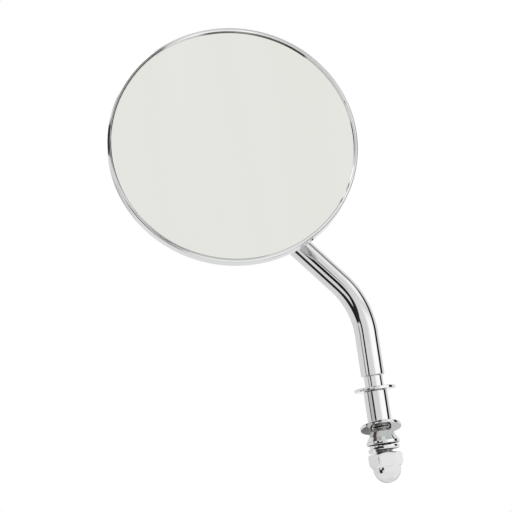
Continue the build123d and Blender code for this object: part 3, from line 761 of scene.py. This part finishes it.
around = np.linspace(0, 2 * np.pi, STEM_SIDES, endpoint=False)[None, :]
ring_z = stations[:, 2]
in_thread = (ring_z >= thread_z[0]) & (ring_z < THREAD_TOP)
fade = np.clip((ring_z - NUT_TOP + FADE_IN_NUT) / FADE_IN_NUT, 0, 1)
fade = fade * np.clip((THREAD_TOP - ring_z) / FADE_AT_TOP, 0, 1)
ridge = RIDGE * np.cos(2 * np.pi * ring_z[:, None] / PITCH - around)
radius = stations[:, :1] + np.where(in_thread, fade, 0)[:, None] * ridge
x = stations[:, 1:2] + radius * np.cos(around) * np.cos(lean)
z = stations[:, 2:3] + radius * np.cos(around) * np.sin(lean)
stem = skin("bent_stem", np.stack([x, radius * np.sin(around), z], axis=-1), closed=False)
two_finishes(stem, chrome, thread_steel, face_middles(stem.data)[:, 2] < THREAD_TOP * MM)
fit(stem, "stem_body", "chrome_plate", "stem")

# %% [markdown]
# The fixing hardware, from the top down: a stamped washer under the shoulder, the sleeve that a
# bracket's eye sits on, a second washer that hangs askew, a cone, a split washer and a domed nut.
# Stamped washers have one rounded edge and one sharp one, and the sleeve's ends are chamfered.

# %% Stamped washers
WASHER_R, WASHER_BORE_R, WASHER_T, LOOSE_TILT = 8.73, 4.365, 1.3, math.radians(13.0)
STAMPED_EDGES = [0.06, 0.12, 0.28, 0.12]
half_t = WASHER_T / 2
washer_section = rounded(
    [(WASHER_BORE_R, -half_t), (WASHER_R, -half_t), (WASHER_R, half_t), (WASHER_BORE_R, half_t)],
    STAMPED_EDGES)
upper = skin("stamped_upper_washer", turned(washer_section, (np.array([0, 0, half_t]), np.eye(3))))
tipped = np.array([[1, 0, 0], [0, math.cos(LOOSE_TILT), -math.sin(LOOSE_TILT)],
                   [0, math.sin(LOOSE_TILT), math.cos(LOOSE_TILT)]])
hangs_at = np.array([0, 0, sum(span("lower_washer")) / 2])
lower = skin("stamped_lower_washer", turned(washer_section, (hangs_at, tipped)))
print("lower washer hangs at, mm:", hangs_at[2].round(2))

# %% Sleeve and cone
HARDWARE_R = 4.1
SLEEVE_R, SLEEVE_LENGTH, SLEEVE_CHAMFER = 5.05, 13.8, 0.4
SLEEVE_EDGES = [0.05, 0.06, 0.1, 0.1, 0.06, 0.05]
chamfer_r = SLEEVE_R - SLEEVE_CHAMFER
sleeve_section = rounded(
    [(HARDWARE_R, -SLEEVE_LENGTH), (chamfer_r, -SLEEVE_LENGTH), (SLEEVE_R, SLEEVE_CHAMFER - SLEEVE_LENGTH),
     (SLEEVE_R, -SLEEVE_CHAMFER), (chamfer_r, 0), (HARDWARE_R, 0)], SLEEVE_EDGES)
sleeve = skin("bracket_sleeve", turned(sleeve_section, STUD))
CONE_TOP_R, CONE_BASE_R, CONE_RIM = 4.5, 7.05, 1.3
CONE_EDGES = [0.05, 0.25, 0.3, 0.12, 0.05]
CONE_BASE, CONE_TOP = span("cone_bush")
cone_section = rounded(
    [(HARDWARE_R, CONE_BASE), (CONE_BASE_R, CONE_BASE), (CONE_BASE_R, CONE_BASE + CONE_RIM),
     (CONE_TOP_R, CONE_TOP), (HARDWARE_R, CONE_TOP)], CONE_EDGES)
cone = skin("turned_cone", turned(cone_section, STUD))
print("cone from", CONE_BASE.round(2), "to", CONE_TOP.round(2), "mm")

# %% Plate outside, painted shade in the bores and under the cone
BORE_REACH, BASE_REACH = WASHER_BORE_R + 0.1, CONE_BASE + 0.02
hardware = {"upper_washer": upper, "lower_washer": lower, "spacer_sleeve": sleeve, "cone_bush": cone}
for node, piece in hardware.items():
    middle = face_middles(piece.data)
    # Faces in the bores, and the cone's underside, get the dark steel: painted shade for the gaps
    painted_shade = np.hypot(middle[:, 0], middle[:, 1]) < BORE_REACH * MM
    if piece is cone:
        painted_shade |= middle[:, 2] < BASE_REACH * MM
    two_finishes(piece, plated if piece in (upper, lower) else chrome, bore_painted_shade, painted_shade)
    fit(piece, "stem_body", "chrome_plate", node)

# %% [markdown]
# A split washer is a flat bar coiled once and cut, with its ends sprung apart, and here it lies a
# little askew under the cone. It is a rounded rectangle carried round a left-hand helix, tipped
# about X, and the last ring at each end shrinks to its middle, which closes the cut faces.

# %% Split washer
LOCK_RISE, LOCK_T, LOCK_R = 2.0, 1.65, 6.65
LOCK_TURNS, LOCK_END_AT, LOCK_LEAN, LOCK_RINGS = 1.05, 222.0, math.radians(4.0), 121
BAR_EDGES = [0.15, 0.22, 0.22, 0.15]
half_w, half_t = (LOCK_R - HARDWARE_R) / 2, LOCK_T / 2
bar = rounded([(-half_w, -half_t), (half_w, -half_t), (half_w, half_t), (-half_w, half_t)], BAR_EDGES)
way = np.concatenate([[0], np.linspace(0, 1, LOCK_RINGS), [1]])[:, None]
size = np.concatenate([[0], np.ones(LOCK_RINGS), [0]])[:, None]
coil = np.radians(LOCK_END_AT - 360 * LOCK_TURNS * way)
out = (LOCK_R + HARDWARE_R) / 2 + size * bar[None, :, 0]
height = LOCK_RISE * way + size * bar[None, :, 1]
depth = out * np.sin(coil) * math.cos(LOCK_LEAN) - height * math.sin(LOCK_LEAN)
height = out * np.sin(coil) * math.sin(LOCK_LEAN) + height * math.cos(LOCK_LEAN)
height = height + span("lock_washer")[1] - height.max()
lock = skin("split_washer", np.stack([out * np.cos(coil), depth, height], axis=-1), closed=False)
lock.data.materials.append(plated)
fit(lock, "stem_body", "chrome_plate", "lock_washer")

# %% [markdown]
# The domed nut starts as a turned blank. The upper end of its wide part is chamfered at thirty
# degrees, and the lower end tapers steeply into the dome. Milling the six flats then leaves the
# curved shoulders that real nuts have, because each flat cuts the two cones in an arc. The limit
# on the radius in the milling function does just that, and rounds the six upright edges a little.

# %% Domed nut
NUT_AF, NUT_HEX_T, NUT_TURN, NUT_EDGE = 12.7, 6.0, 4.3, 0.35
NUT_BORE_R, NUT_BORE_DEPTH, NUT_BORE_CHAMFER = 3.7, 9.0, 0.4
NUT_CHAMFER, NUT_TAPER_R, NUT_TAPER, CONE_STEPS = math.radians(30), 5.95, 1.5, 15
DOME_R, DOME_STEP, NUT_TIP = 5.85, 0.05, span("acorn_nut")[0]
hex_end, bore_end = NUT_TOP - NUT_HEX_T, NUT_TOP - NUT_BORE_DEPTH
nut_r, flat_r = NUT_AF / math.sqrt(3), NUT_AF / 2
chamfer = (nut_r - flat_r) * math.tan(NUT_CHAMFER)
t = np.linspace(0, 1, CONE_STEPS)[:, None]
nut_section = np.concatenate([
    [(0, bore_end), (NUT_BORE_R, bore_end), (NUT_BORE_R, NUT_TOP - NUT_BORE_CHAMFER),
     (NUT_BORE_R + NUT_BORE_CHAMFER, NUT_TOP)],
    np.array([(flat_r, NUT_TOP)]) + t * np.array([(nut_r - flat_r, -chamfer)]),
    np.array([(nut_r, hex_end + NUT_TAPER)]) + t * np.array([(NUT_TAPER_R - nut_r, -NUT_TAPER)]),
    [(DOME_R, hex_end - DOME_STEP), (DOME_R, NUT_TIP + DOME_R)],
    arc((0, NUT_TIP + DOME_R), DOME_R, 90, 180, steps=33)[1:],
])
nut_points = milled(nut_section, STUD, NUT_AF, (hex_end, NUT_TOP), NUT_EDGE, turn=NUT_TURN)
nut = skin("domed_nut", nut_points, closed=False, sharp=22)
nut.data.materials.append(plated)
fit(nut, "stem_body", "chrome_plate", "acorn_nut")

# %% [markdown]
# The glass stays as the CAD made it, because a flat disc has nothing to gain from a new mesh. The
# real one is float glass silvered on its back: it mirrors nearly everything, with a trace of green
# from the glass. Wiping leaves a faint haze in slanting streaks, some 20 mm apart.

# %% Silvered glass
WIPE_SLANT, WIPE_SIZE, WIPE_STRETCH = math.radians(35), 80.0, (4.0, 1.0, 0.5)
silver, tree, shader, place = material("silvered_float_glass")
shader.inputs["Metallic"].default_value = 1.0
slant = add(tree, "ShaderNodeMapping", {"Rotation": (0.0, WIPE_SLANT, 0.0), "Scale": WIPE_STRETCH},
            {"Vector": place})
wipe = add(tree, "ShaderNodeTexNoise", {"Scale": 1 / (WIPE_SIZE * MM), "Detail": 3.0},
           {"Vector": slant.outputs["Vector"]})
tone = add(tree, "ShaderNodeMix", {"data_type": "RGBA", 6: linear("#E2E3DD"), 7: linear("#E7E8E3")},
           {0: wipe.outputs["Fac"]})
rough = add(tree, "ShaderNodeMapRange", {"To Min": 0.0, "To Max": 0.03}, {"Value": wipe.outputs["Fac"]})
tree.links.new(tone.outputs[2], shader.inputs["Base Color"])
tree.links.new(rough.outputs["Result"], shader.inputs["Roughness"])
print("finish:", silver.name)

# %% [markdown]
# Inside the head and the socket sit pieces that show only through the mouth or from behind: zinc
# steel, brass, nylon and rubber. They keep their CAD meshes and get plain finishes with the grain
# of how each was made.

# %% Hidden finishes
MOULD_BUMP = 0.3


def moulded(*look, height):
    """Moulded plastic or rubber: the grain of its colour stands up by a height in mm as well."""
    new, tree, shader, noise = grained(*look)
    bump = add(tree, "ShaderNodeBump", {"Strength": MOULD_BUMP, "Distance": height * MM}, {"Height": noise})
    tree.links.new(bump.outputs["Normal"], shader.inputs["Normal"])
    return new


zinc = worked_metal("zinc_plated_steel", "#B9BABA", "#9A9B9A", 0.8, 0.22, 0.4, detail=5.0)
brass = worked_metal("turned_brass", "#D0B273", "#A98646", 0.6, 0.18, 0.34, detail=5.0)
nylon = moulded("natural_nylon", "#E6E2D6", "#D6D1C2", 1.2, 0.35, 0.5, height=0.02)
rubber = moulded("black_rubber", "#262626", "#171717", 0.5, 0.6, 0.8, height=0.03)

# %% Finishes of the pieces that keep their CAD mesh
kept = {
    "mirror_glass": silver, "glass_seal": rubber, "backing_plate": zinc, "stud_lock_washer": zinc,
    "stud_nut": zinc, "ball_liner": nylon, "pressure_cup": brass, "disc_springs": zinc, "tension_cap": chrome,
}
for node, finish in kept.items():
    for holder in frame["nodes"][node].material_slots:
        holder.material = finish
    print(node, "keeps its CAD mesh, with", finish.name)
